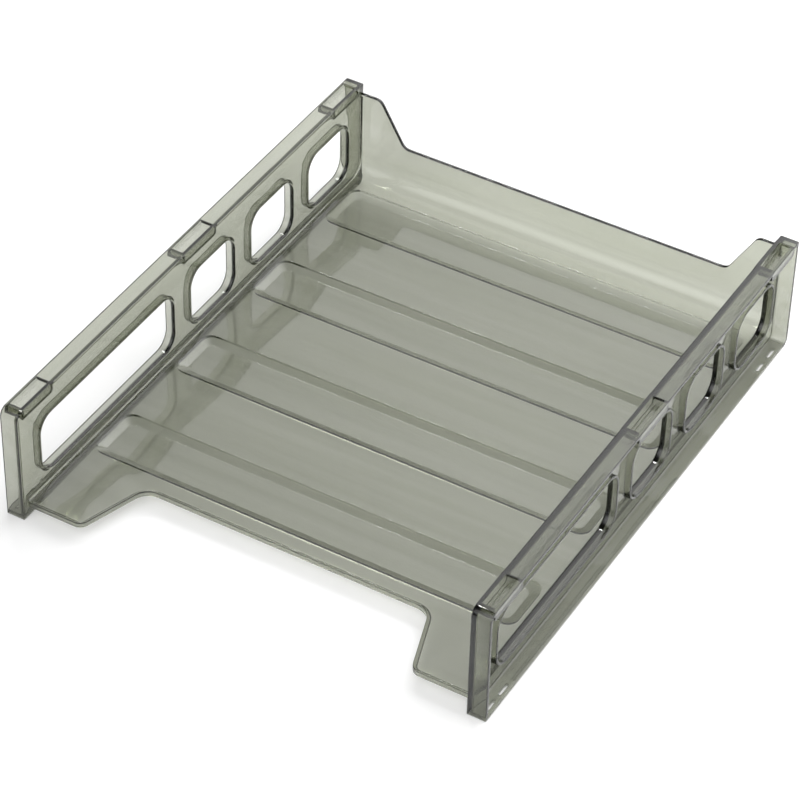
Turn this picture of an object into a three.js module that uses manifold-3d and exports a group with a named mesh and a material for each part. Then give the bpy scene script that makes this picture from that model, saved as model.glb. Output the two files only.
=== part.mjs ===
// Front-loading letter tray in clear smoke polystyrene, for letter paper, stackable.
// Units are millimetres and +Z is up. The open front faces -Y, and the origin is the middle
// of the footprint on the table. The real tray is one moulding. Here each of its walls, rails,
// rims and sockets is a solid of its own, a hair apart from its neighbours.
import * as THREE from "three";
import { mergeVertices } from "three/addons/utils/BufferGeometryUtils.js";
import Module from "manifold-3d";

const wasm = await Module();
wasm.setup();

// ---- driving dimensions -------------------------------------------------------------------
const TRAY_WIDTH = 254;
const TRAY_DEPTH = 302;
const RAIL_TOP = 63.6;
const WALL = 2;
const GAP = 0.3;

// Side frames: an upright web on the inside, with flanges that stand outwards from it.
const FRAME_DEPTH = 9.8;
const FRONT_TOP_RADIUS = 4.5;
const FRONT_BOTTOM_RADIUS = 0.6;
const REAR_BOTTOM_RADIUS = 4;
const REAR_TOP_RADIUS = 0.8;
const SMALLEST_RADIUS = 0.4;
const POST_REACH = 5.6;

// Windows in the side frames. Spans are distances back from the front edge.
const WINDOW_BOTTOM = 15.5;
const WINDOW_TOP = 47.5;
const WINDOW_RADIUS = 8.5;
const WINDOW_RIM_DEPTH = 5.4;
const WINDOW_RIM_WALL = 1.6;
const WINDOW_SPANS = [[17, 126.5], [142, 180], [196, 234], [249.5, 287.5]];

// Stacking sockets: pockets sunk through the top rails into cups that hang below them, with the
// web as their inner wall.
// Spans are those of the pockets, as distances back from the front edge.
const SOCKET_SPANS = { front: [5.9, 27], middle: [138, 163.6], rear: [275, 296] };
const SOCKET_WALL = 1.6;
const SOCKET_FLOOR = 59.2;

// Pairs of small locating slots in the bottom rails, below the end sockets.
const SLOT_SPANS = [[5, 12.5], [16, 24], [272.5, 280.5], [284.5, 292.5]];
const SLOT_EDGE_MARGIN = 1.75;
const SLOT_WIDTH = 1.7;

// Floor, with shallow channels across it and a finger recess in its front edge.
const FLOOR_TOP = 10;
const FLOOR_FRONT = 3;
const LIP_BOTTOM = 6.6;
const LIP_THICKNESS = 1.8;
const RECESS_BACK = 39.2;
const RECESS_HALF_WIDTH_FRONT = 87.4;
const RECESS_HALF_WIDTH_BACK = 75.6;
const RECESS_RADIUS = 9;
const TAB_RADIUS = 5;
const CHANNEL_FIRST = 48.6;
const CHANNEL_PITCH = 68.6;
const CHANNEL_COUNT = 4;
const CHANNEL_LENGTH = 31;
const CHANNEL_HALF_WIDTH = 112.8;
const CHANNEL_DROP = 2;
const CHANNEL_SLOPE = 4.6;
const CHANNEL_RADIUS = 6;

// Back wall: high shoulders, a low middle, and a curved foot that sweeps into the floor.
const SHOULDER_TOP = 58;
const MIDDLE_TOP = 33.3;
const SHOULDER_HALF_WIDTH = 106;
const MIDDLE_HALF_WIDTH = 91.5;
const BACK_CORNER_RADIUS = 5;
const FOOT_RADIUS = 9;

const ARC_SEGMENTS = 3;
const HALF_WIDTH = TRAY_WIDTH / 2;
const WEB_INNER = HALF_WIDTH - FRAME_DEPTH;
const WEB_OUTER = WEB_INNER + WALL;
const FOOT_FRONT = TRAY_DEPTH - WALL - FOOT_RADIUS;

// A distance back from the front edge, as a Y coordinate.
const back = (distance) => distance - TRAY_DEPTH / 2;

// ---- solids -------------------------------------------------------------------------------
function solidOf(geometry) {
  geometry.deleteAttribute("normal");
  geometry.deleteAttribute("uv");
  const merged = mergeVertices(geometry, 1e-4);
  const vertProperties = new Float32Array(merged.attributes.position.array);
  const triVerts = new Uint32Array(merged.index.array);
  return new wasm.Manifold(new wasm.Mesh({ numProp: 3, vertProperties, triVerts }));
}

function geometryOf(solid) {
  const mesh = solid.getMesh();
  const geometry = new THREE.BufferGeometry();
  geometry.setAttribute("position", new THREE.BufferAttribute(mesh.vertProperties, 3));
  geometry.setIndex(new THREE.BufferAttribute(mesh.triVerts, 1));
  geometry.computeVertexNormals();
  return geometry;
}

function box(xs, ys, zs) {
  const width = Math.abs(xs[1] - xs[0]);
  const geometry = new THREE.BoxGeometry(width, ys[1] - ys[0], zs[1] - zs[0]);
  geometry.translate((xs[0] + xs[1]) / 2, (ys[0] + ys[1]) / 2, (zs[0] + zs[1]) / 2);
  return solidOf(geometry);
}

function extrude(shape, depth) {
  return new THREE.ExtrudeGeometry(shape, { depth, bevelEnabled: false, curveSegments: ARC_SEGMENTS });
}

// A shape drawn in plan, extruded upwards.
function uprightPrism(shape, zs) {
  return solidOf(extrude(shape, zs[1] - zs[0]).translate(0, 0, zs[0]));
}

// A shape drawn as (Y, Z), extruded along X.
function sidewaysPrism(shape, xs) {
  const turn = new THREE.Matrix4().makeBasis(
    new THREE.Vector3(0, 1, 0),
    new THREE.Vector3(0, 0, 1),
    new THREE.Vector3(1, 0, 0),
  );
  const geometry = extrude(shape, Math.abs(xs[1] - xs[0])).applyMatrix4(turn);
  return solidOf(geometry.translate(Math.min(...xs), 0, 0));
}

// A shape drawn as (X, Z), extruded along Y.
function lengthwisePrism(shape, ys) {
  const turn = new THREE.Matrix4().makeRotationX(Math.PI / 2);
  const geometry = extrude(shape, ys[1] - ys[0]).applyMatrix4(turn);
  return solidOf(geometry.translate(0, ys[1], 0));
}

// A closed outline through corners [x, y, radius], each rounded by an arc of its radius.
function roundedOutline(corners) {
  const shape = new THREE.Shape();
  const count = corners.length;
  corners.forEach(([x, y, radius], index) => {
    const corner = new THREE.Vector2(x, y);
    const last = new THREE.Vector2(...corners[(index + count - 1) % count]).sub(corner).normalize();
    const next = new THREE.Vector2(...corners[(index + 1) % count]).sub(corner).normalize();
    const halfAngle = Math.acos(last.dot(next)) / 2;
    const start = corner.clone().addScaledVector(last, radius / Math.tan(halfAngle));
    const end = corner.clone().addScaledVector(next, radius / Math.tan(halfAngle));
    if (index === 0) shape.moveTo(start.x, start.y);
    else shape.lineTo(start.x, start.y);
    if (radius === 0) return;
    const inwards = last.clone().add(next).normalize();
    const centre = corner.clone().addScaledVector(inwards, radius / Math.sin(halfAngle));
    const from = start.clone().sub(centre).angle();
    const to = end.clone().sub(centre).angle();
    shape.absarc(centre.x, centre.y, radius, from, to, last.cross(next) > 0);
  });
  return shape;
}

function roundedRectangle([x0, x1], [y0, y1], radius) {
  return roundedOutline([[x0, y0, radius], [x1, y0, radius], [x1, y1, radius], [x0, y1, radius]]);
}

// ---- side frames --------------------------------------------------------------------------
// The frame's outline, seen from the side, pulled in all round by the given inset.
function frameOutline(inset) {
  const [front, rear] = [back(inset), back(TRAY_DEPTH - inset)];
  const [low, high] = [inset, RAIL_TOP - inset];
  const radius = (size) => Math.max(size - inset, SMALLEST_RADIUS);
  return roundedOutline([
    [front, low, radius(FRONT_BOTTOM_RADIUS)],
    [rear, low, radius(REAR_BOTTOM_RADIUS)],
    [rear, high, radius(REAR_TOP_RADIUS)],
    [front, high, radius(FRONT_TOP_RADIUS)],
  ]);
}

function windowHole(side, [front, rear], grow, xs) {
  const ys = [back(front - grow), back(rear + grow)];
  const zs = [WINDOW_BOTTOM - grow, WINDOW_TOP + grow];
  return sidewaysPrism(roundedRectangle(ys, zs, WINDOW_RADIUS + grow), xs.map((x) => side * x));
}

function pocket(side, span) {
  const xs = [side * WEB_OUTER, side * (HALF_WIDTH - SOCKET_WALL)];
  return box(xs, span.map(back), [SOCKET_FLOOR, RAIL_TOP + 1]);
}

function sideWeb(side) {
  const plate = sidewaysPrism(frameOutline(0), [side * WEB_INNER, side * WEB_OUTER]);
  const throughPlate = [WEB_INNER - 1, WEB_OUTER + 1];
  const pierce = (rest, span) => rest.subtract(windowHole(side, span, 0, throughPlate));
  return WINDOW_SPANS.reduce(pierce, plate);
}

function windowFrame(side, span) {
  const rim = windowHole(side, span, WINDOW_RIM_WALL, [WEB_OUTER + GAP, WEB_INNER + WINDOW_RIM_DEPTH]);
  return rim.subtract(windowHole(side, span, 0, [WEB_INNER, HALF_WIDTH]));
}

// The part of the frame's outer flange that lies within the given reach of Y and Z.
function flangePart(side, ys, zs) {
  const outer = sidewaysPrism(frameOutline(0), [side * (WEB_OUTER + GAP), side * HALF_WIDTH]);
  const hollow = sidewaysPrism(frameOutline(WALL), [side * WEB_INNER, side * (HALF_WIDTH + 1)]);
  const reach = box([side * WEB_INNER, side * (HALF_WIDTH + 1)], ys, zs);
  return outer.subtract(hollow).intersect(reach);
}

function frontPost(side) {
  return flangePart(side, [back(-1), back(POST_REACH)], [-1, RAIL_TOP + 1]);
}

function rearPost(side) {
  const zs = [POST_REACH + GAP, RAIL_TOP - POST_REACH - GAP];
  return flangePart(side, [back(TRAY_DEPTH - POST_REACH), back(TRAY_DEPTH + 1)], zs);
}

function topRail(side) {
  const ys = [back(POST_REACH + GAP), back(TRAY_DEPTH + 1)];
  const rail = flangePart(side, ys, [RAIL_TOP - POST_REACH, RAIL_TOP + 1]);
  const sink = (rest, span) => rest.subtract(pocket(side, span));
  return Object.values(SOCKET_SPANS).reduce(sink, rail);
}

function bottomRail(side) {
  const rail = flangePart(side, [back(POST_REACH + GAP), back(TRAY_DEPTH + 1)], [-1, POST_REACH]);
  const slotOuter = HALF_WIDTH - SLOT_EDGE_MARGIN;
  const xs = [side * (slotOuter - SLOT_WIDTH), side * slotOuter];
  const cut = (rest, [front, rear]) => rest.subtract(box(xs, [back(front), back(rear)], [-1, WALL + 1]));
  return SLOT_SPANS.reduce(cut, rail);
}

function socket(side, [front, rear]) {
  const xs = [side * (WEB_OUTER + GAP), side * HALF_WIDTH];
  const ys = [back(front - SOCKET_WALL), back(rear + SOCKET_WALL)];
  const cup = box(xs, ys, [SOCKET_FLOOR - SOCKET_WALL, RAIL_TOP - WALL - GAP]);
  return cup.subtract(pocket(side, [front, rear]));
}

// ---- floor and back wall ------------------------------------------------------------------
// The floor in plan, with its front edges pulled back by the given inset.
function floorPlan(halfWidth, inset, rear) {
  const lean = (RECESS_HALF_WIDTH_FRONT - RECESS_HALF_WIDTH_BACK) / (RECESS_BACK - FLOOR_FRONT);
  const widen = inset * (Math.hypot(1, lean) - lean);
  const tabEdge = RECESS_HALF_WIDTH_FRONT + widen;
  const recessEdge = RECESS_HALF_WIDTH_BACK + widen;
  const front = back(FLOOR_FRONT + inset);
  const recess = back(RECESS_BACK + inset);
  const tabRadius = TAB_RADIUS - inset;
  const recessRadius = RECESS_RADIUS + inset;
  return roundedOutline([
    [-halfWidth, front, 0],
    [-tabEdge, front, tabRadius],
    [-recessEdge, recess, recessRadius],
    [recessEdge, recess, recessRadius],
    [tabEdge, front, tabRadius],
    [halfWidth, front, 0],
    [halfWidth, back(rear), 0],
    [-halfWidth, back(rear), 0],
  ]);
}

function frontLip() {
  const halfWidth = WEB_INNER - GAP;
  const whole = uprightPrism(floorPlan(halfWidth, 0, RECESS_BACK + LIP_THICKNESS), [LIP_BOTTOM, FLOOR_TOP]);
  const inner = floorPlan(HALF_WIDTH, LIP_THICKNESS, TRAY_DEPTH);
  return whole.subtract(uprightPrism(inner, [LIP_BOTTOM - 1, FLOOR_TOP + 1]));
}

// A channel as a tray of its own: a rounded rectangle in plan, smaller at the bottom by its slopes.
function channel(index, top, bottom) {
  const front = back(CHANNEL_FIRST + index * CHANNEL_PITCH);
  const middle = front + CHANNEL_LENGTH / 2;
  const outline = roundedRectangle(
    [-CHANNEL_HALF_WIDTH, CHANNEL_HALF_WIDTH],
    [front, front + CHANNEL_LENGTH],
    CHANNEL_RADIUS,
  );
  const geometry = extrude(outline, top - bottom).translate(0, 0, bottom);
  const shrinkX = 1 - CHANNEL_SLOPE / CHANNEL_HALF_WIDTH;
  const shrinkY = 1 - (2 * CHANNEL_SLOPE) / CHANNEL_LENGTH;
  const position = geometry.attributes.position;
  for (let i = 0; i < position.count; i += 1) {
    if (position.getZ(i) < (top + bottom) / 2) {
      position.setX(i, position.getX(i) * shrinkX);
      position.setY(i, middle + (position.getY(i) - middle) * shrinkY);
    }
  }
  return solidOf(geometry);
}

function floorPanel() {
  const plan = floorPlan(WEB_INNER - GAP, LIP_THICKNESS + GAP, FOOT_FRONT - GAP);
  let panel = uprightPrism(plan, [FLOOR_TOP - WALL, FLOOR_TOP]);
  for (let index = 0; index < CHANNEL_COUNT; index += 1) {
    panel = panel.add(channel(index, FLOOR_TOP - WALL, FLOOR_TOP - WALL - CHANNEL_DROP));
    panel = panel.subtract(channel(index, FLOOR_TOP, FLOOR_TOP - CHANNEL_DROP));
  }
  return panel;
}

function backWall() {
  const halfWidth = WEB_INNER - GAP;
  const [inside, outside] = [back(TRAY_DEPTH - WALL), back(TRAY_DEPTH)];
  const footCentre = [back(FOOT_FRONT), FLOOR_TOP + FOOT_RADIUS];
  const foot = new THREE.Shape();
  foot.moveTo(footCentre[0], FLOOR_TOP);
  foot.absarc(...footCentre, FOOT_RADIUS, -Math.PI / 2, 0, false);
  foot.lineTo(inside, MIDDLE_TOP - BACK_CORNER_RADIUS);
  foot.lineTo(outside, MIDDLE_TOP - BACK_CORNER_RADIUS);
  foot.absarc(...footCentre, FOOT_RADIUS + WALL, 0, -Math.PI / 2, true);
  const plate = roundedOutline([
    [-halfWidth, footCentre[1], 0],
    [halfWidth, footCentre[1], 0],
    [halfWidth, SHOULDER_TOP, 0],
    [SHOULDER_HALF_WIDTH, SHOULDER_TOP, BACK_CORNER_RADIUS],
    [MIDDLE_HALF_WIDTH, MIDDLE_TOP, BACK_CORNER_RADIUS],
    [-MIDDLE_HALF_WIDTH, MIDDLE_TOP, BACK_CORNER_RADIUS],
    [-SHOULDER_HALF_WIDTH, SHOULDER_TOP, BACK_CORNER_RADIUS],
    [-halfWidth, SHOULDER_TOP, 0],
  ]);
  return sidewaysPrism(foot, [-halfWidth, halfWidth]).add(lengthwisePrism(plate, [inside, outside]));
}

// ---- the tray -----------------------------------------------------------------------------
const tray = new THREE.Group();

function addPiece(name, solid) {
  const material = new THREE.MeshStandardMaterial({
    color: 0x8c8f84,
    roughness: 0.12,
    metalness: 0,
    transparent: true,
    opacity: 0.55,
  });
  const mesh = new THREE.Mesh(geometryOf(solid), material);
  mesh.name = name;
  tray.add(mesh);
}

addPiece("floor_panel", floorPanel());
addPiece("front_lip", frontLip());
addPiece("back_wall", backWall());

for (const [hand, side] of [["left", -1], ["right", 1]]) {
  addPiece(`${hand}_side_web`, sideWeb(side));
  addPiece(`${hand}_top_rail`, topRail(side));
  addPiece(`${hand}_bottom_rail`, bottomRail(side));
  addPiece(`${hand}_front_post`, frontPost(side));
  addPiece(`${hand}_rear_post`, rearPost(side));
  WINDOW_SPANS.forEach((span, index) => {
    addPiece(`${hand}_window_frame_${index + 1}`, windowFrame(side, span));
  });
  Object.entries(SOCKET_SPANS).forEach(([place, span]) => {
    addPiece(`${hand}_${place}_socket`, socket(side, span));
  });
}

export default tray;
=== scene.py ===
"""Letter tray in clear smoke polystyrene.

The real tray is one moulding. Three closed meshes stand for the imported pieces: a floor that sweeps
up into the back wall, and a side frame at each end of it, so close that the plastic looks whole.
The helpers take millimetres, and a mesh gets metres as its vertices are made.
"""
import math

import bmesh
import bpy
from mathutils import Matrix, Vector


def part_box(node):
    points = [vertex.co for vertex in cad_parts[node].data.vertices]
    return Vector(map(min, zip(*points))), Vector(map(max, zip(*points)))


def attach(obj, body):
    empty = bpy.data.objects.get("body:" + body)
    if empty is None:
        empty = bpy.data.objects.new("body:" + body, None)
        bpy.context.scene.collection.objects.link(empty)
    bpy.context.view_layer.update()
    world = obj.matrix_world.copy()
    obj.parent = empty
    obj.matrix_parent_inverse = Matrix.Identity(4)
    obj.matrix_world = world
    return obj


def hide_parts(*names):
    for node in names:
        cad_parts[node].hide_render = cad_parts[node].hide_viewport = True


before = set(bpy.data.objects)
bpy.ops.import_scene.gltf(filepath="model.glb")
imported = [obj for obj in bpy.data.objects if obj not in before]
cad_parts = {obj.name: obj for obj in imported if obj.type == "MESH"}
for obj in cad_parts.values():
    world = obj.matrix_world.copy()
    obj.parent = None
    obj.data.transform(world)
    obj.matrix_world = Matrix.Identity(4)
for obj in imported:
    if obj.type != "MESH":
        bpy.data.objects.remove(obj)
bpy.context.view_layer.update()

MM = 0.001
SIDES = {"left": -1, "right": 1}


def cad(node):
    """The lowest and highest corner of a CAD node, in millimetres."""
    low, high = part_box(node)
    return low / MM, high / MM


# ---- sizes read from the frame --------------------------------------------------------------
web_low, web_high = cad("right_side_web")
WEB_INNER = web_low.x
WEB_OUTER = web_high.x
WALL = WEB_OUTER - WEB_INNER
FRONT = web_low.y
REAR = web_high.y
RAIL_TOP = web_high.z
HALF_WIDTH = cad("right_top_rail")[1].x
FLOOR_TOP = cad("floor_panel")[1].z
FLOOR_BOTTOM = FLOOR_TOP - WALL
LIP_FRONT = cad("front_lip")[0].y
LIP_BOTTOM = cad("front_lip")[0].z
SHOULDER_TOP = cad("back_wall")[1].z

# ---- sizes that a box can't tell, in agreement with the CAD model ---------------------------
WINDOWS = 4
WINDOW_RADIUS = 8.5
RIM_WALL = 1.6
SOCKET_WALL = 1.6
SOCKET_PLACES = ("front", "middle", "rear")
FRONT_TOP_RADIUS = 4.5
FRONT_BOTTOM_RADIUS = 0.6
REAR_BOTTOM_RADIUS = 4.0
REAR_TOP_RADIUS = 0.8
SLOT_SPANS = [(5, 12.5), (16, 24), (272.5, 280.5), (284.5, 292.5)]
SLOT_EDGE_MARGIN = 1.75
SLOT_WIDTH = 1.7
LIP_THICKNESS = 1.8
RECESS_DEPTH = 36.2
RECESS_HALF_WIDTHS = (87.4, 75.6)
RECESS_RADII = (5.0, 9.0)
CHANNEL_FIRST = 48.6
CHANNEL_PITCH = 68.6
CHANNEL_COUNT = 4
CHANNEL_LENGTH = 31.0
CHANNEL_HALF_WIDTH = 112.8
CHANNEL_DROP = 2.0
CHANNEL_SLOPE = 4.6
CHANNEL_RADIUS = 6.0
NOTCH_DEPTH = 24.7
NOTCH_HALF_WIDTHS = (106.0, 91.5)
NOTCH_RADII = (5.0, 5.0)
FOOT_RADIUS = 9.0
FOOT_CENTRE = (REAR - WALL - FOOT_RADIUS, FLOOR_TOP + FOOT_RADIUS)

# ---- the fine roundings of the moulding -----------------------------------------------------
FRAME_EDGE = 0.5
FLANGE_LIP = 0.4
FLANGE_CORNER = 1.3
WINDOW_EDGE = 0.9
RIM_LIP = 0.5
INSIDE_CORNER = 0.6
SOCKET_FRONT_RADIUS = 0.3
SOCKET_REAR_RADIUS = 1.2
SOCKET_INSET = 0.3
SLOT_RADIUS = 0.8
LIP_EDGE = 0.5
LIP_LOWER_EDGE = 0.4
WALL_EDGE = 0.7
CHANNEL_EDGE = 0.8
FLOOR_FILLET = 1.4
SMALLEST_RADIUS = 0.1

# how far a tool goes into the solid it joins, and the gap between the sheet and each side frame
BURIED = 1.0
SEAM = 0.02
SHEET_EDGE = WEB_INNER - SEAM

CORNER_STEPS = 8
EDGE_STEPS = 5
WELD_DISTANCE = 1e-6
SHARP_ANGLE = math.radians(32)

# ---- material -------------------------------------------------------------------------------
SMOKE_COLOUR = (0.535, 0.55, 0.46, 1.0)
SMOKE_DENSITY = 700.0
POLYSTYRENE_IOR = 1.59
STREAK_COLOUR = (0.89, 0.9, 0.865, 1.0)
CLEAR = (1.0, 1.0, 1.0, 1.0)
RIPPLE_STRENGTH = 0.6
RIPPLE_HEIGHT = 0.00003
MARK_SCALE = 60.0
MOST_ROUGH = 0.05

# streaks per metre along X, Y and Z: across the sheet, and along the side frames
FLOW_ACROSS = (7.0, 150.0, 60.0)
FLOW_ALONG = (120.0, 7.0, 150.0)

# ---- studio ---------------------------------------------------------------------------------
# azimuth and elevation, where the light starts to fade and where it ends, and its brightness
SOFT_LIGHTS = [
    (35, 38, 10, 55, 2.25),
    (172, 42, 10, 48, 2.4),
    (-12, 40, 5, 38, 1.3),
    (-41, 56, 1, 4.5, 26),
]
ROOM_LIGHT = 0.06
LIGHT_BOUNCES = 24

TABLE_HALF_SIZE = 4
TABLE_ROUGHNESS = 0.9
TABLE_GLOW = 0.28
# the table's colour is painted: a painted pool of light round this point, fading to painted shade
# further off
TABLE_PAINTED_LIGHT_CENTRE = (0.1, 0.1, 0)
TABLE_PAINTED_SHADE_FADE = (0.1, 0.4)
TABLE_PAINTED_LIGHT_AND_SHADE = (0.95, 0.6)

CAMERA_AZIMUTH = math.radians(29.59)
CAMERA_ELEVATION = math.radians(40.97)
CAMERA_ROLL = math.radians(1.464)
CAMERA_DISTANCE = 1.6226
CAMERA_TARGET = Vector((-0.0132, 0.0133, 0))
CAMERA_LENS = 151.67
CAMERA_SENSOR = 36
CAMERA_CLIP = (0.05, 50)


def back(distance):
    """A distance back from the tray's front edge, as a Y coordinate."""
    return FRONT + distance


# ---- outlines -------------------------------------------------------------------------------
def arc(centre, radius, start, end, steps=EDGE_STEPS):
    """Points of an arc in a plane, between two angles in degrees."""
    points = []
    for step in range(steps + 1):
        turn = math.radians(start + (end - start) * step / steps)
        points.append((centre[0] + radius * math.cos(turn), centre[1] + radius * math.sin(turn)))
    return points


def rounded(corners, steps=CORNER_STEPS):
    """Points along (u, v, radius) corners, each rounded by an arc. A radius of 0 is a plain corner."""
    points = []
    for index, (u, v, radius) in enumerate(corners):
        if radius == 0:
            points.append((u, v))
            continue
        corner = Vector((u, v))
        to_last = (Vector(corners[index - 1][:2]) - corner).normalized()
        to_next = (Vector(corners[(index + 1) % len(corners)][:2]) - corner).normalized()
        half_angle = math.acos(to_last.dot(to_next)) / 2
        centre = corner + (to_last + to_next).normalized() * radius / math.sin(half_angle)
        first = corner + to_last * radius / math.tan(half_angle) - centre
        final = corner + to_next * radius / math.tan(half_angle) - centre
        start = math.degrees(math.atan2(first.y, first.x))
        sweep = math.degrees(math.atan2(final.y, final.x)) - start
        sweep = (sweep + 180) % 360 - 180
        points += arc(centre, radius, start, start + sweep, steps)
    return points


def rounded_rectangle(u_span, v_span, radius):
    (u0, u1), (v0, v1) = u_span, v_span
    return rounded([(u0, v0, radius), (u1, v0, radius), (u1, v1, radius), (u0, v1, radius)])


def stepped(depth, half_widths, radii, inset):
    """Points (x, depth) along an edge with a wide notch in its middle, pulled in by the inset."""
    lean = (half_widths[0] - half_widths[1]) / depth
    widen = inset * (math.hypot(1, lean) - lean)
    outer, inner = half_widths[0] + widen, half_widths[1] + widen
    return rounded([
        (-SHEET_EDGE, inset, 0),
        (-outer, inset, radii[0] - inset),
        (-inner, depth + inset, radii[1] + inset),
        (inner, depth + inset, radii[1] + inset),
        (outer, inset, radii[0] - inset),
        (SHEET_EDGE, inset, 0),
    ])


# ---- meshes ---------------------------------------------------------------------------------
def ring(bm, points):
    return [bm.verts.new(Vector(point) * MM) for point in points]


def skin(bm, rings, closed=True):
    """Quads between each ring of vertices and the next."""
    for one, two in zip(rings, rings[1:]):
        for i in range(len(one) if closed else len(one) - 1):
            j = (i + 1) % len(one)
            bm.faces.new((one[i], one[j], two[j], two[i]))


def plane_fill(bm, *loops):
    """A flat face inside the first loop of vertices, with the other loops as holes in it."""
    edges = []
    for loop in loops:
        for one, two in zip(loop, loop[1:] + loop[:1]):
            edges.append(bm.edges.get((one, two)) or bm.edges.new((one, two)))
    bmesh.ops.triangle_fill(bm, use_beauty=True, use_dissolve=False, edges=edges)


def in_scene(name, data):
    """A new object in the scene, at the origin."""
    thing = bpy.data.objects.new(name, data)
    bpy.context.scene.collection.objects.link(thing)
    return thing


def finished(bm, name):
    """The bmesh as an object, with its faces turned outwards."""
    bmesh.ops.recalc_face_normals(bm, faces=bm.faces)
    mesh = bpy.data.meshes.new(name)
    bm.to_mesh(mesh)
    bm.free()
    return in_scene(name, mesh)


def tube(name, sections):
    """A closed solid through sections of points, flat at both ends."""
    bm = bmesh.new()
    rings = [ring(bm, section) for section in sections]
    skin(bm, rings)
    for end in (rings[0], rings[-1]):
        plane_fill(bm, end)
    return finished(bm, name)


def sideways_prism(name, outline, x_span):
    """A solid with an outline in (Y, Z), drawn out along X."""
    return tube(name, [[(x, y, z) for y, z in outline] for x in x_span])


def upright_prism(name, outline, z_span):
    """A solid with an outline in (X, Y), drawn out along Z."""
    return tube(name, [[(x, y, z) for x, y in outline] for z in z_span])


def combine(target, tool, operation):
    """Joins or cuts target with tool, which is used up."""
    modifier = target.modifiers.new("combine", "BOOLEAN")
    modifier.operation = operation
    modifier.solver = "MANIFOLD"
    modifier.object = tool
    graph = bpy.context.evaluated_depsgraph_get()
    mesh = bpy.data.meshes.new_from_object(target.evaluated_get(graph))
    target.modifiers.clear()
    spent = target.data
    target.data = mesh
    bpy.data.meshes.remove(spent)
    bpy.data.meshes.remove(tool.data)


# ---- side frames ----------------------------------------------------------------------------
def frame_outline(inset):
    """The side frame's outline in (Y, Z), pulled in all round."""
    corners = [
        (FRONT + inset, inset, FRONT_BOTTOM_RADIUS),
        (REAR - inset, inset, REAR_BOTTOM_RADIUS),
        (REAR - inset, RAIL_TOP - inset, REAR_TOP_RADIUS),
        (FRONT + inset, RAIL_TOP - inset, FRONT_TOP_RADIUS),
    ]
    return rounded([(y, z, max(radius - inset, SMALLEST_RADIUS)) for y, z, radius in corners])


def window_outline(node, grow):
    """A window's outline in (Y, Z), made larger all round."""
    low, high = cad(node)
    y_span = (low.y + RIM_WALL - grow, high.y - RIM_WALL + grow)
    z_span = (low.z + RIM_WALL - grow, high.z - RIM_WALL + grow)
    return rounded_rectangle(y_span, z_span, WINDOW_RADIUS + grow)


def flange_section(edge, end, lip, wall, corner):
    """(X, inset) round a flange that stands out from the web, from the web's inner face to its outer."""
    return [
        *arc((WEB_INNER + edge, edge), edge, 180, 270),
        *arc((end - lip, lip), lip, 270, 360),
        *arc((end - lip, wall - lip), lip, 0, 90),
        *arc((WEB_OUTER + corner, wall + corner), corner, 270, 180),
    ]


def side_frame(hand):
    side = SIDES[hand]
    bm = bmesh.new()
    inner_loops, outer_loops = [], []

    def flange(section, outline):
        rings = [ring(bm, [(side * x, y, z) for y, z in outline(inset)]) for x, inset in section]
        skin(bm, rings)
        inner_loops.append(rings[0])
        outer_loops.append(rings[-1])

    flange(flange_section(FRAME_EDGE, HALF_WIDTH, FLANGE_LIP, WALL, FLANGE_CORNER), frame_outline)
    for number in range(1, WINDOWS + 1):
        node = f"{hand}_window_frame_{number}"
        rim_end = cad(node)[1 if side > 0 else 0].x * side
        section = flange_section(WINDOW_EDGE, rim_end, RIM_LIP, RIM_WALL, INSIDE_CORNER)
        flange(section, lambda grow, node=node: window_outline(node, grow))
    plane_fill(bm, *inner_loops)
    plane_fill(bm, *outer_loops)
    piece = finished(bm, f"{hand}_side_frame")
    for place in SOCKET_PLACES:
        add_socket(piece, hand, place)
    for span in SLOT_SPANS:
        cut_slot(piece, side, span)
    return piece


def add_socket(piece, hand, place):
    """Hangs a cup under the top rail, squares the web beside it, and sinks the pocket."""
    side = SIDES[hand]
    low, high = cad(f"{hand}_{place}_socket")
    front, rear, bottom = low.y + SOCKET_WALL, high.y - SOCKET_WALL, low.z + SOCKET_WALL

    def outline(grow, top):
        return rounded([
            (front - grow, bottom - grow, SOCKET_FRONT_RADIUS + grow / 2),
            (rear + grow, bottom - grow, SOCKET_REAR_RADIUS + grow / 2),
            (rear + grow, top, 0),
            (front - grow, top, 0),
        ])

    cup_span = [side * (WEB_OUTER - BURIED), side * (HALF_WIDTH - SOCKET_INSET)]
    cheek_span = [side * WEB_INNER, side * (WEB_OUTER + BURIED)]
    pocket_span = [side * WEB_OUTER, side * (HALF_WIDTH - SOCKET_WALL)]
    combine(piece, sideways_prism("cup", outline(SOCKET_WALL, RAIL_TOP - WALL / 2), cup_span), "UNION")
    combine(piece, sideways_prism("cheek", outline(SOCKET_WALL, RAIL_TOP), cheek_span), "UNION")
    combine(piece, sideways_prism("pocket", outline(0, RAIL_TOP + WALL), pocket_span), "DIFFERENCE")


def cut_slot(piece, side, span):
    outer = HALF_WIDTH - SLOT_EDGE_MARGIN
    x_span = sorted([side * (outer - SLOT_WIDTH), side * outer])
    outline = rounded_rectangle(x_span, [back(distance) for distance in span], SLOT_RADIUS)
    combine(piece, upright_prism("slot", outline, [-WALL, 2 * WALL]), "DIFFERENCE")


# ---- floor and back wall --------------------------------------------------------------------
def lip_section():
    """(inset, Z) down the front edge, from the floor's top to its underside."""
    inner = LIP_THICKNESS + INSIDE_CORNER
    return [
        *arc((LIP_EDGE, FLOOR_TOP - LIP_EDGE), LIP_EDGE, 90, 180),
        *arc((LIP_LOWER_EDGE, LIP_BOTTOM + LIP_LOWER_EDGE), LIP_LOWER_EDGE, 180, 270),
        *arc((LIP_THICKNESS - LIP_LOWER_EDGE, LIP_BOTTOM + LIP_LOWER_EDGE), LIP_LOWER_EDGE, 270, 360),
        *arc((inner, FLOOR_BOTTOM - INSIDE_CORNER), INSIDE_CORNER, 180, 90),
    ]


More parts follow.
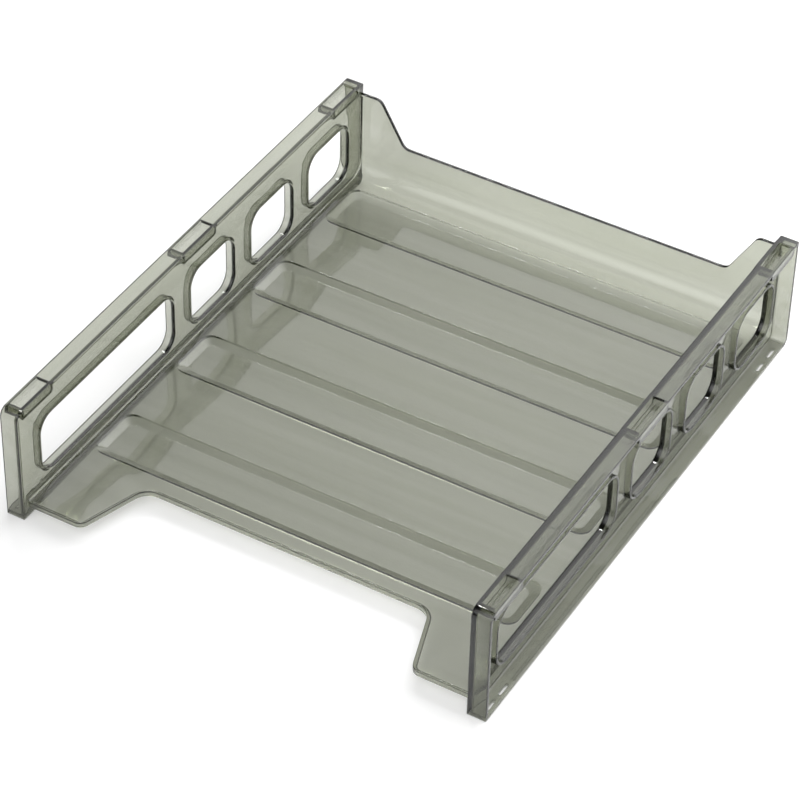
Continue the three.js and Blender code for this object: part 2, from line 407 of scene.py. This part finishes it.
def lip_row(inset, z):
    edge = stepped(RECESS_DEPTH, RECESS_HALF_WIDTHS, RECESS_RADII, inset)
    return [(x, LIP_FRONT + depth, z) for x, depth in edge]


def wall_rows():
    """Rows of points across the tray, from the floor's underside over the back wall to its top."""

    def edge(inset):
        notch = stepped(NOTCH_DEPTH, NOTCH_HALF_WIDTHS, NOTCH_RADII, inset)
        return [(x, SHOULDER_TOP - depth) for x, depth in notch]

    columns = [x for x, _ in edge(WALL_EDGE)]
    outside = arc(FOOT_CENTRE, FOOT_RADIUS + WALL, 270, 360, CORNER_STEPS)
    inside = arc(FOOT_CENTRE, FOOT_RADIUS, 360, 270, CORNER_STEPS)
    over_top = [
        *arc((REAR - WALL_EDGE, WALL_EDGE), WALL_EDGE, 360, 270),
        *arc((REAR - WALL + WALL_EDGE, WALL_EDGE), WALL_EDGE, 270, 180),
    ]
    return [
        *[[(x, y, z) for x in columns] for y, z in outside],
        *[[(x, y, z) for x, z in edge(inset)] for y, inset in over_top],
        *[[(x, y, z) for x in columns] for y, z in inside],
    ]


def channel_rings(bm, index, top):
    """The rings of a shallow channel, from the flat round it down to its own flat."""
    front = back(CHANNEL_FIRST + index * CHANNEL_PITCH)
    section = rounded([
        (-CHANNEL_SLOPE, top, 0),
        (0, top, CHANNEL_EDGE),
        (CHANNEL_SLOPE, top - CHANNEL_DROP, CHANNEL_EDGE),
        (2 * CHANNEL_SLOPE, top - CHANNEL_DROP, 0),
    ], EDGE_STEPS)[1:-1]
    rings = []
    for inset, z in section:
        half_width = CHANNEL_HALF_WIDTH - inset
        y_span = (front + inset, front + CHANNEL_LENGTH - inset)
        outline = rounded_rectangle((-half_width, half_width), y_span, CHANNEL_RADIUS - inset / 2)
        rings.append(ring(bm, [(x, y, z) for x, y in outline]))
    return rings


def floor_and_back():
    bm = bmesh.new()
    lip = [ring(bm, lip_row(inset, z)) for inset, z in lip_section()]
    wall = [ring(bm, row) for row in wall_rows()]
    skin(bm, lip, closed=False)
    skin(bm, wall, closed=False)
    for top, front_row, rear_row in ((FLOOR_TOP, lip[0], wall[-1]), (FLOOR_BOTTOM, lip[-1], wall[0])):
        holes = []
        for index in range(CHANNEL_COUNT):
            rings = channel_rings(bm, index, top)
            skin(bm, rings)
            plane_fill(bm, rings[-1])
            holes.append(rings[0])
        plane_fill(bm, front_row + rear_row[::-1], *holes)
    for end in (0, -1):
        plane_fill(bm, [row[end] for row in lip + wall])
    return finished(bm, "floor_and_back")


def junction_fillet(side):
    """The small round where the web meets the floor and the back wall, swept along both."""
    path = [((LIP_FRONT + LIP_EDGE, FLOOR_TOP), (0, 1))]
    for y, z in arc(FOOT_CENTRE, FOOT_RADIUS, 270, 360, CORNER_STEPS):
        inwards = (Vector(FOOT_CENTRE) - Vector((y, z))).normalized()
        path.append(((y, z), inwards))
    path.append(((REAR - WALL, SHOULDER_TOP - 2 * WALL_EDGE), (-1, 0)))
    outline = [
        *arc((SHEET_EDGE - FLOOR_FILLET, FLOOR_FILLET), FLOOR_FILLET, 270, 360),
        (SHEET_EDGE, -BURIED),
        (WEB_INNER - FLOOR_FILLET, -BURIED),
    ]
    sections = []
    for (y, z), (ny, nz) in path:
        sections.append([(side * x, y + ny * rise, z + nz * rise) for x, rise in outline])
    return tube("fillet", sections)


# ---- the moulding ---------------------------------------------------------------------------
def soften(piece):
    """Smooth shading, broken at the edges that are really sharp."""
    bm = bmesh.new()
    bm.from_mesh(piece.data)
    bmesh.ops.remove_doubles(bm, verts=bm.verts, dist=WELD_DISTANCE)
    for face in bm.faces:
        face.smooth = True
    for edge in bm.edges:
        edge.smooth = len(edge.link_faces) == 2 and edge.calc_face_angle() < SHARP_ANGLE
    bm.to_mesh(piece.data)
    bm.free()


def tray_pieces():
    """The sheet and the two side frames, each with the CAD nodes that it stands for."""
    sheet = floor_and_back()
    pieces = {sheet: ["floor_panel", "front_lip", "back_wall"]}
    for hand, side in SIDES.items():
        combine(sheet, junction_fillet(side), "UNION")
        pieces[side_frame(hand)] = [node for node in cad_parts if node.startswith(hand)]
    return pieces


# ---- looks ----------------------------------------------------------------------------------
def add_node(tree, kind, **values):
    """A new node in the tree, with the given values on its input sockets."""
    made = tree.nodes.new(kind)
    for socket, value in values.items():
        made.inputs[socket.replace("_", " ")].default_value = value
    return made


def new_material(name):
    """A material with nodes, and its tree and shader."""
    material = bpy.data.materials.new(name)
    material.use_nodes = True
    return material, material.node_tree, material.node_tree.nodes["Principled BSDF"]


def smoke_polystyrene(name, flow_scale):
    """Clear smoke plastic, tinted by its thickness. Faint streaks follow the way the plastic flowed."""
    material, tree, shader = new_material(name)
    link = tree.links.new
    shader.inputs["Transmission Weight"].default_value = 1.0
    shader.inputs["IOR"].default_value = POLYSTYRENE_IOR
    absorb = add_node(tree, "ShaderNodeVolumeAbsorption", Color=SMOKE_COLOUR, Density=SMOKE_DENSITY)
    link(absorb.outputs["Volume"], tree.nodes["Material Output"].inputs["Volume"])

    place = add_node(tree, "ShaderNodeTexCoord")
    stretch = add_node(tree, "ShaderNodeMapping", Scale=flow_scale)
    link(place.outputs["Object"], stretch.inputs["Vector"])
    flow = add_node(tree, "ShaderNodeTexNoise", Scale=1.0, Detail=4.0)
    link(stretch.outputs["Vector"], flow.inputs["Vector"])
    contrast = add_node(tree, "ShaderNodeMapRange", From_Min=0.3, From_Max=0.7)
    link(flow.outputs["Fac"], contrast.inputs["Value"])
    tint = add_node(tree, "ShaderNodeMix")
    tint.data_type = "RGBA"
    tint.inputs["A"].default_value = STREAK_COLOUR
    tint.inputs["B"].default_value = CLEAR
    link(contrast.outputs["Result"], tint.inputs["Factor"])
    link(tint.outputs["Result"], shader.inputs["Base Color"])
    ripple = add_node(tree, "ShaderNodeBump", Strength=RIPPLE_STRENGTH, Distance=RIPPLE_HEIGHT)
    link(flow.outputs["Fac"], ripple.inputs["Height"])
    link(ripple.outputs["Normal"], shader.inputs["Normal"])

    marks = add_node(tree, "ShaderNodeTexNoise", Scale=MARK_SCALE, Detail=6.0)
    link(place.outputs["Object"], marks.inputs["Vector"])
    rough = add_node(tree, "ShaderNodeMapRange", From_Min=0.35, From_Max=0.75, To_Max=MOST_ROUGH)
    link(marks.outputs["Fac"], rough.inputs["Value"])
    link(rough.outputs["Result"], shader.inputs["Roughness"])
    return material


def table_with_painted_shade():
    """The table's material. It fades a little in front and on the left: its colour is painted darker
    there as painted shade, for less light falling there. It also glows very faintly.
    """
    material, tree, shader = new_material("pale_floor")
    shader.inputs["Roughness"].default_value = TABLE_ROUGHNESS
    shader.inputs["Specular IOR Level"].default_value = 0.0
    shader.inputs["Emission Color"].default_value = (1, 1, 1, 1)
    shader.inputs["Emission Strength"].default_value = TABLE_GLOW
    # painted light and shade: the colour darkens with distance from the painted pool of light
    place = add_node(tree, "ShaderNodeTexCoord")
    distance = add_node(tree, "ShaderNodeVectorMath")
    distance.operation = "DISTANCE"
    distance.inputs[1].default_value = TABLE_PAINTED_LIGHT_CENTRE
    tree.links.new(place.outputs["Object"], distance.inputs[0])
    (near, far), (white, grey) = TABLE_PAINTED_SHADE_FADE, TABLE_PAINTED_LIGHT_AND_SHADE
    fade = add_node(tree, "ShaderNodeMapRange", From_Min=near, From_Max=far, To_Min=white, To_Max=grey)
    fade.interpolation_type = "SMOOTHSTEP"
    tree.links.new(distance.outputs["Value"], fade.inputs["Value"])
    tree.links.new(fade.outputs["Result"], shader.inputs["Base Color"])
    return material


def pale_floor():
    bm = bmesh.new()
    bmesh.ops.create_grid(bm, x_segments=1, y_segments=1, size=TABLE_HALF_SIZE)
    floor = finished(bm, "studio_floor")
    floor.data.materials.append(table_with_painted_shade())


def towards(azimuth, elevation):
    """A unit vector: azimuth in degrees clockwise from +Y, seen from above, and elevation."""
    turn, rise = math.radians(azimuth), math.radians(elevation)
    return (math.sin(turn) * math.cos(rise), math.cos(turn) * math.cos(rise), math.sin(rise))


def sky():
    """Soft lights in an otherwise dim room. Each is a round glow that fades at its rim."""
    world = bpy.data.worlds.new("studio")
    bpy.context.scene.world = world
    world.use_nodes = True
    tree = world.node_tree
    link = tree.links.new
    background = tree.nodes["Background"]
    background.inputs["Color"].default_value = (1, 1, 1, 1)
    direction = add_node(tree, "ShaderNodeTexCoord")
    strength = None
    for azimuth, elevation, inner, outer, brightness in SOFT_LIGHTS:
        facing = add_node(tree, "ShaderNodeVectorMath")
        facing.operation = "DOT_PRODUCT"
        facing.inputs[1].default_value = towards(azimuth, elevation)
        link(direction.outputs["Generated"], facing.inputs[0])
        glow = add_node(tree, "ShaderNodeMapRange", To_Max=brightness)
        glow.interpolation_type = "SMOOTHSTEP"
        glow.inputs["From Min"].default_value = math.cos(math.radians(outer))
        glow.inputs["From Max"].default_value = math.cos(math.radians(inner))
        link(facing.outputs["Value"], glow.inputs["Value"])
        total = add_node(tree, "ShaderNodeMath")
        total.inputs[0].default_value = ROOM_LIGHT
        if strength:
            link(strength, total.inputs[0])
        link(glow.outputs["Result"], total.inputs[1])
        strength = total.outputs["Value"]
    link(strength, background.inputs["Strength"])


def studio():
    pale_floor()
    sky()
    scene = bpy.context.scene
    scene.view_settings.view_transform = "Standard"
    scene.cycles.max_bounces = LIGHT_BOUNCES
    scene.cycles.transmission_bounces = LIGHT_BOUNCES


def camera():
    """The viewpoint: front right and above, through a long lens, with a slight tilt."""
    away = Vector((
        math.sin(CAMERA_AZIMUTH) * math.cos(CAMERA_ELEVATION),
        -math.cos(CAMERA_AZIMUTH) * math.cos(CAMERA_ELEVATION),
        math.sin(CAMERA_ELEVATION),
    ))
    level = Vector((math.cos(CAMERA_AZIMUTH), math.sin(CAMERA_AZIMUTH), 0))
    upright = away.cross(level)
    right = level * math.cos(CAMERA_ROLL) + upright * math.sin(CAMERA_ROLL)
    up = upright * math.cos(CAMERA_ROLL) - level * math.sin(CAMERA_ROLL)
    lens = bpy.data.cameras.new("camera")
    lens.sensor_width = CAMERA_SENSOR
    lens.lens = CAMERA_LENS
    lens.clip_start, lens.clip_end = CAMERA_CLIP
    holder = in_scene("camera", lens)
    turn = Matrix((right, up, away)).transposed().to_4x4()
    holder.matrix_world = Matrix.Translation(CAMERA_TARGET + away * CAMERA_DISTANCE) @ turn
    bpy.context.scene.camera = holder


# ---- assembly -------------------------------------------------------------------------------
across = smoke_polystyrene("smoke_polystyrene_across", FLOW_ACROSS)
along = smoke_polystyrene("smoke_polystyrene_along", FLOW_ALONG)
for piece, stands_for in tray_pieces().items():
    soften(piece)
    piece.data.materials.clear()
    piece.data.materials.append(across if piece.name == "floor_and_back" else along)
    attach(piece, "root")
    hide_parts(*stands_for)
studio()
camera()
